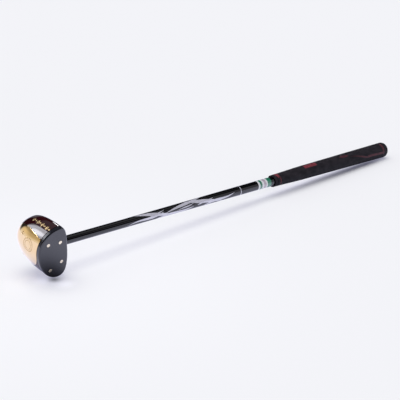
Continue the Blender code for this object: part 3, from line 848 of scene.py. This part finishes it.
def grip_radius(distance):
    """Outer radius at a distance from the mouth: a cone, necked down towards the mouth."""
    butt = GRIP_BORE_RADIUS + GRIP_BUTT_WALL - SKIN
    cone = butt - GRIP_TAPER * (GRIP_LENGTH - distance)
    mouth_cone = butt - GRIP_TAPER * GRIP_LENGTH
    share = min(1.0, max(0.0, distance / GRIP_NECK_LENGTH))
    return cone - (mouth_cone - GRIP_MOUTH_RADIUS) * (1.0 - ease(share))


def build_grip():
    """The slip-on grip, with a lip and a groove at its mouth and a vent in its closed butt."""
    groove = GRIP_START + GRIP_LIP_LENGTH
    groove_radius = GRIP_MOUTH_RADIUS - GRIP_GROOVE_DEPTH
    lip_centre = (GRIP_MOUTH_RADIUS - GRIP_LIP_RADIUS, GRIP_START + GRIP_LIP_RADIUS)
    profile = [(GRIP_BORE_RADIUS, GRIP_START)]
    profile += arc(lip_centre, GRIP_LIP_RADIUS, -90, 0, 6)
    profile += arc((GRIP_MOUTH_RADIUS - EDGE, groove - EDGE), EDGE, 0, 90, 3)
    profile += [(groove_radius, groove), (groove_radius, groove + GRIP_GROOVE_WIDTH)]
    start = GRIP_LIP_LENGTH + GRIP_GROOVE_WIDTH
    swell_end = GRIP_LENGTH - SKIN - GRIP_END_RADIUS
    for i in range(GRIP_STEPS + 1):
        distance = start + (swell_end - start) * i / GRIP_STEPS
        profile.append((grip_radius(distance), GRIP_START + distance))
    end_centre = (grip_radius(swell_end) - GRIP_END_RADIUS, GRIP_START + swell_end)
    profile += arc(end_centre, GRIP_END_RADIUS, 0, 90, 14)[1:]
    profile += [(VENT_RADIUS + EDGE, BUTT_END - SKIN), (VENT_RADIUS, BUTT_END - SKIN - EDGE)]
    profile += [(VENT_RADIUS, BUTT_END - GRIP_END_WALL), (GRIP_BORE_RADIUS, BUTT_END - GRIP_END_WALL)]
    new_object("rubber_grip", turn(profile), TO_CLUB, RUBBER, ["grip"])


def on_grip(place):
    return grip_radius(place - GRIP_START)


# Paint and inlays


def sleeve(name, start, end, rise, material):
    """A thin painted ring on the shaft, sunk a little into it."""
    edge = min(SLEEVE_EDGE, 0.4 * rise)
    near = shaft_radius(start)
    far = shaft_radius(end)
    profile = [(near - SLEEVE_SINK, start), (near + rise - edge, start), (near + rise, start + edge)]
    profile += [(far + rise, end - edge), (far + rise - edge, end), (far - SLEEVE_SINK, end)]
    new_object(name, turn(profile), TO_CLUB, material)


def lay_strip(bm, rows, rise):
    """A thin closed strip on a round surface, from rows of (radius, angle, height) points."""
    loops = []
    for row in rows:
        top = [bm.verts.new(polar(r + rise, a, t)) for r, a, t in row]
        bottom = [bm.verts.new(polar(r - PAINT_SINK, a, t)) for r, a, t in row]
        loops.append(top + bottom[::-1])
    cover(bm, loops)


def cuts_across(half, cuts):
    return [(2.0 * k / cuts - 1.0) * half for k in range(cuts + 1)]


def stripes(name, shapes, radius, rise, material, steps=48):
    """Strips that run along; each shape gives place, middle angle and half width at a share of it."""
    bm = bmesh.new()
    for layer, shape in enumerate(shapes):
        rows = []
        for i in range(steps + 1):
            place, middle, half = shape(i / steps)
            r = radius(place) + LAYER_LIFT * layer
            sides = [math.radians(middle) + across / r for across in cuts_across(half, STRIPE_CUTS)]
            rows.append([(r, LEVEL + UPWARD * side, place) for side in sides])
        lay_strip(bm, rows, rise)
    new_object(name, bm, TO_CLUB, material)


def hoops(name, shapes, material):
    """Strips that run round the grip, as wide along it as each shape says."""
    bm = bmesh.new()
    for shape in shapes:
        rows = []
        for i in range(HOOP_STEPS + 1):
            place, degrees, half = shape(i / HOOP_STEPS)
            angle = LEVEL + UPWARD * math.radians(degrees)
            levels = [place + along for along in cuts_across(half, HOOP_CUTS)]
            rows.append([(on_grip(t), angle, t) for t in levels])
        lay_strip(bm, rows, GRIP_INLAY_RISE)
    new_object(name, bm, TO_CLUB, material)


def fullness(share, lead, power):
    """Width of a leaf at a share of its length, from nought to one; it is widest at the lead."""
    return math.sin(math.pi * share ** (math.log(0.5) / math.log(lead))) ** power


def leaf(start, end, from_angle, to_angle, half, sway=0.0, lead=0.5):
    """A slender leaf that swings from one angle round the shaft to another."""

    def shape(share):
        middle = from_angle + (to_angle - from_angle) * ease(share) + sway * math.sin(2 * math.pi * share)
        return start + (end - start) * share, middle, max(LEAF_TIP, half * fullness(share, lead, 0.8))

    return shape


def bar(start, end, angle, half, slant=0.0):
    return lambda share: (start + (end - start) * share, angle + slant * share, half)


def hoop(place, from_angle, to_angle, half, lead=0.5):
    """Part of a ring round the grip, as a leaf whose length runs round it."""

    def shape(share):
        middle = from_angle + (to_angle - from_angle) * share
        return place, middle, max(HOOP_TIP, half * fullness(share, lead, 0.5))

    return shape


def build_paint():
    """Silver leaves and a ring on the shaft, and plain label bands beside the grip."""
    silver = [
        leaf(0.126, 0.204, -30.0, 26.0, 0.0019, 16.0, 0.66),
        leaf(0.148, 0.232, 84.0, -44.0, 0.0027, -8.0, 0.40),
        leaf(0.172, 0.206, 6.0, 50.0, 0.0011, 4.0, 0.40),
        leaf(0.188, 0.268, -50.0, -10.0, 0.0027, 14.0, 0.46),
        leaf(0.206, 0.288, 6.0, 92.0, 0.0025, 10.0, 0.58),
        leaf(0.232, 0.268, -4.0, 28.0, 0.0010, 5.0, 0.60),
        leaf(0.250, 0.336, 76.0, -40.0, 0.0030, -12.0, 0.42),
        leaf(0.276, 0.312, -6.0, 34.0, 0.0012, 6.0, 0.40),
        leaf(0.292, 0.362, -40.0, 20.0, 0.0021, 16.0, 0.36),
    ]
    stripes("silver_leaves", silver, shaft_radius, LEAF_RISE, SILVER, 72)
    sleeve("silver_ring", 0.3766, 0.3780, RING_RISE, SILVER)
    bands = (
        ("label_rim", 0.4200, 0.4240, LABEL_WHITE),
        ("label_green_line", 0.4240, 0.4290, LABEL_GREEN),
        ("label_white_line", 0.4290, 0.4335, LABEL_WHITE),
        ("label_mauve_line", 0.4335, 0.4390, LABEL_MAUVE),
        ("label_white_band", 0.4390, 0.4425, LABEL_WHITE),
        ("label_green_band", 0.4425, 0.4515, LABEL_GREEN),
    )
    for name, start, end, material in bands:
        sleeve(name, start, end, LABEL_RISE, material)


def build_grip_marks():
    """Red inlays: a square block, rings at the mouth and the butt, a lozenge and a line along the side."""
    block = [bar(0.5400, 0.5725, angle, 0.0019) for angle in (60.0, 78.5)]
    stripes("red_block", block, on_grip, GRIP_INLAY_RISE, RED_RUBBER)
    dull = [
        leaf(0.636, 0.662, 62.0, 56.0, 0.0026),
        leaf(0.664, 0.724, 41.0, -3.0, 0.0016, 0.0, 0.65),
        bar(0.714, 0.764, 5.0, 0.0022, -5.0),
    ]
    stripes("dull_red_inlays", dull, on_grip, GRIP_INLAY_RISE, DULL_RED_RUBBER)
    mouth = [hoop(0.4700, 118.0, 38.0, 0.0036, 0.45), hoop(0.4738, 70.0, -34.0, 0.0006)]
    hoops("red_mouth_ring", mouth, RED_RUBBER)
    hoops("red_butt_ring", [hoop(0.7615, 84.0, -14.0, 0.0030, 0.4)], DULL_RED_RUBBER)


head, sole = build_head()
face = build_face_plate()
build_screws(head, sole, face)
build_ornament()
build_shaft()
build_ferrule()
build_grip()
build_paint()
build_grip_marks()
hidden = (("balance_weight", WEIGHT_BRASS, "weight_brass"), ("grip_tape", TAPE, "tape_paper"))
for node, material, slot in hidden:
    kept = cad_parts[node]
    kept.data.materials.clear()
    kept.data.materials.append(material)


# Floor, light and camera


def build_floor():
    """A white sweep whose glow stands for light from the walls; painted shadow takes the glow out where the
    club touches the floor, and painted light adds to it near the club.
    """
    bm = bmesh.new()
    bmesh.ops.create_circle(bm, cap_ends=True, segments=128, radius=FLOOR_RADIUS)
    mesh = bpy.data.meshes.new("floor")
    bm.to_mesh(mesh)
    bm.free()
    floor = bpy.data.objects.new("floor", mesh)
    bpy.context.scene.collection.objects.link(floor)
    material = bpy.data.materials.new("floor")
    t = Nodes(material)
    t.tree.nodes.clear()
    point = t.add("ShaderNodeTexCoord").outputs["Object"]
    split = t.add("ShaderNodeSeparateXYZ", {0: point})
    along = split.outputs[0]
    path = t.add("ShaderNodeLightPath")
    by_camera = path.outputs["Is Camera Ray"]
    by_mirror = path.outputs["Is Glossy Ray"]

    def bell(away, reach):
        squared = t.math("POWER", t.math("DIVIDE", away, reach), 2.0)
        return t.math("EXPONENT", t.product(squared, -1.0))

    def near_line(y, reach):
        return bell(t.math("SUBTRACT", split.outputs[1], y), reach)

    def near_place(x, y, reach):
        return bell(t.vector("DISTANCE", point, (x, y, 0.0), "Value"), reach)

    # Painted shadow along the grip's contact with the floor, which ends at the butt, and painted light in a
    # strip beside it
    short = t.step(along, 0.43, 0.35)
    contact = t.product(near_line(*CONTACT_LINE), t.step(along, 0.0, 0.32), short)
    beside = t.product(near_line(*BESIDE_LINE), t.step(along, 0.02, 0.20), short)
    open_line = t.math("MULTIPLY_ADD", contact, -0.95, 1.0)
    # Painted shadow round the head's foot: the glow goes out there, and mirrors see the floor darker
    foot = near_place(*HEAD_FOOT, HEAD_FOOT_REACH)
    shade = near_place(*HEAD_FOOT, HEAD_SHADE_REACH)
    seen_share = t.product(open_line, t.math("SUBTRACT", 1.0, foot))
    mirrored_share = t.product(open_line, t.math("SUBTRACT", 1.0, shade))
    # Painted light that the shaft and the head throw on the floor
    lift = t.product(near_line(*UNDER_LINE), t.step(along, 0.25, -0.10, 0.0, 0.06))
    lift = t.product(lift, t.step(along, -0.47, -0.41))
    lift = t.math("MULTIPLY_ADD", beside, 0.25, lift)
    for x, y, reach, level in FLOOR_LIFTS:
        lift = t.math("MULTIPLY_ADD", near_place(x, y, reach), level, lift)
    lit = t.product(seen_share, t.math("ADD", lift, FLOOR_GLOW))
    glow_inputs = {0: lit, 1: GLOW_COLOUR, 2: SHADE_GLOW}
    glow = t.add("ShaderNodeVectorMath", glow_inputs, operation="MULTIPLY_ADD").outputs[0]
    seen = t.add("ShaderNodeEmission", {"Color": glow, "Strength": by_camera})
    mirror_strength = t.product(by_mirror, MIRROR_GLOW, mirrored_share)
    mirrored = t.add("ShaderNodeEmission", {"Color": MIRROR_GLOW_COLOUR, "Strength": mirror_strength})
    # painted shadow in what mirrors see: the floor's colour is darker round the head's foot
    share = t.math("MULTIPLY_ADD", t.product(shade, by_mirror), -0.75, 1.0)
    paint = t.mix(by_camera, FLOOR_COLOUR, FLOOR_SEEN)
    tint = t.add("ShaderNodeVectorMath", {0: paint, "Scale": share}, operation="SCALE").outputs[0]
    matt = t.add("ShaderNodeBsdfDiffuse", {"Color": tint})
    both = t.add("ShaderNodeAddShader", {0: seen.outputs[0], 1: mirrored.outputs[0]})
    both = t.add("ShaderNodeAddShader", {0: both.outputs[0], 1: matt.outputs[0]})
    t.add("ShaderNodeOutputMaterial", {"Surface": both.outputs[0]})
    mesh.materials.append(material)


def direction(azimuth, elevation):
    a = math.radians(azimuth)
    e = math.radians(elevation)
    return Vector((math.cos(e) * math.cos(a), math.cos(e) * math.sin(a), math.sin(e)))


def window(t, way, corners, soft):
    """One inside a patch of the sky whose corners are given as directions in turn, nought outside."""
    inside = None
    middle = sum(corners, Vector())
    for a, b in zip(corners, corners[1:] + corners[:1]):
        normal = a.cross(b).normalized()
        if normal.dot(middle) < 0.0:
            normal.negate()
        edge = t.step(t.dot(way, normal), -soft, soft)
        inside = edge if inside is None else t.product(inside, edge)
    return inside


def build_world():
    """Soft light all round for matt surfaces; a dark studio with its panels for mirrors.

    A panel's edges are heights, or cosines of the angle to the direction that it faces.
    """
    world = bpy.data.worlds.new("studio")
    bpy.context.scene.world = world
    t = Nodes(world)
    t.tree.nodes.clear()
    way = t.add("ShaderNodeTexCoord").outputs["Generated"]
    height = t.add("ShaderNodeSeparateXYZ", {0: way}).outputs["Z"]

    def facing(azimuth, elevation=0.0):
        return t.dot(way, direction(azimuth, elevation))

    # The left wall, bright low down and less so at its end
    left = t.step(facing(135.0), 0.78, 0.88)
    left_low = t.step(height, 0.01, 0.26)
    left_end = t.blend(t.step(facing(100.0), 0.77, 0.90), *LEFT_END_LEVELS)
    left_wall = t.product(t.blend(left_low, LEFT_LEVEL, left_end), t.step(height, 0.31, 0.42, 1.0, 0.65))
    # The dim back wall with a lit corner, the dark front, the ceiling and the right wall
    corner = t.product(t.step(facing(-24.0), -0.04, 0.03), t.step(facing(-24.0), 0.30, 0.12))
    corner = t.product(corner, t.step(height, 0.46, 0.36, 0.0, CORNER_LEVEL))
    behind = t.math("MAXIMUM", corner, t.step(height, 0.0, 0.15, *BACK_LEVELS))
    back_wall = t.blend(t.step(facing(45.0), 0.90, 0.99), behind, BACK_MIDDLE_LEVEL)
    front = t.step(facing(-62.0), -0.30, 0.25)
    low = t.blend(front, t.blend(left, back_wall, left_wall), FRONT_LEVEL)
    mirror = t.blend(t.step(height, 0.66, 0.76), low, CEILING_LEVEL)
    wall_corners = [direction(-47, -4), direction(-47, 33), direction(-18, 33), direction(-18, -4)]
    mirror = t.blend(window(t, way, wall_corners, 0.03), mirror, RIGHT_LEVEL)
    # The softbox, in two patches that share a side, brightest round its lamp
    box_left = direction(99, 43.5)
    box_right = direction(155, 68.0)
    box_top = box_left.slerp(box_right, 0.6)
    near_patch = [box_left, direction(103, 25.5), direction(128, 34.5), box_top]
    far_patch = [box_top, direction(124, 35.0), direction(149, 21.5), box_right]
    box = t.math("MAXIMUM", window(t, way, near_patch, 0.010), window(t, way, far_patch, 0.010))
    lamp = t.step(facing(136.0, 37.0), 0.975, 1.0, *BOX_LEVELS)
    mirror = t.blend(box, mirror, t.product(lamp, t.step(facing(194.0), -0.03, 0.12, 0.15, 1.0)))
    path = t.add("ShaderNodeLightPath")
    level = t.blend(path.outputs["Is Glossy Ray"], SKY, mirror)
    level = t.blend(path.outputs["Is Camera Ray"], level, SKY_SEEN)
    warm = t.product(left, left_low, t.math("SUBTRACT", 1.0, box), path.outputs["Is Glossy Ray"])
    tint = t.mix(warm, COOL_LIGHT, WARM_LIGHT)
    back = t.add("ShaderNodeBackground", {"Color": tint, "Strength": level})
    t.add("ShaderNodeOutputWorld", {"Surface": back.outputs[0]})


def build_sun():
    """A soft distant lamp whose light on a level white floor is the given share of full white."""
    way = Vector(SUN_WAY).normalized()
    data = bpy.data.lights.new("overhead", "SUN")
    data.angle = math.radians(SUN_ANGLE)
    data.energy = SUN_LEVEL * math.pi / way.z
    lamp = bpy.data.objects.new("overhead", data)
    lamp.rotation_euler = way.to_track_quat("Z", "Y").to_euler()
    lamp.visible_glossy = False
    bpy.context.scene.collection.objects.link(lamp)


def build_strip_lamp(lit):
    """A lit bar between two directions from the head, seen only in one piece's gloss."""
    from_way, to_way = (direction(*end) for end in STRIP_ENDS)
    data = bpy.data.lights.new("strip", "AREA")
    data.shape = "RECTANGLE"
    data.size = STRIP_AWAY * (to_way - from_way).length
    data.size_y = STRIP_AWAY * math.radians(STRIP_WIDTH)
    data.energy = STRIP_LEVEL * math.pi * data.size * data.size_y
    lamp = bpy.data.objects.new("strip", data)
    middle = (from_way + to_way).normalized()
    long_way = (to_way - from_way).normalized()
    short_way = middle.cross(long_way).normalized()
    matrix = Matrix((long_way, short_way, long_way.cross(short_way))).transposed().to_4x4()
    matrix.translation = HEAD_MIDDLE + middle * STRIP_AWAY
    lamp.matrix_world = matrix
    lamp.visible_camera = False
    lamp.visible_diffuse = False
    bpy.context.scene.collection.objects.link(lamp)
    receivers = bpy.data.collections.new("strip_receivers")
    receivers.objects.link(lit)
    lamp.light_linking.receiver_collection = receivers


def build_camera():
    data = bpy.data.cameras.new("camera")
    camera = bpy.data.objects.new("camera", data)
    bpy.context.scene.collection.objects.link(camera)
    right = Vector((math.cos(CAMERA_TURN), -math.sin(CAMERA_TURN), 0.0))
    level = math.cos(CAMERA_DOWN)
    forward = Vector((level * math.sin(CAMERA_TURN), level * math.cos(CAMERA_TURN), -math.sin(CAMERA_DOWN)))
    matrix = Matrix((right, right.cross(forward), -forward)).transposed().to_4x4()
    matrix.translation = CLUB_PLACE + CAMERA_FROM_CLUB
    camera.matrix_world = matrix
    data.sensor_width = CAMERA_SENSOR
    data.lens = CAMERA_LENS
    data.clip_end = CAMERA_END
    bpy.context.scene.camera = camera


build_floor()
build_world()
build_sun()
build_strip_lamp(head)
build_camera()
bpy.context.scene.view_settings.view_transform = "Standard"
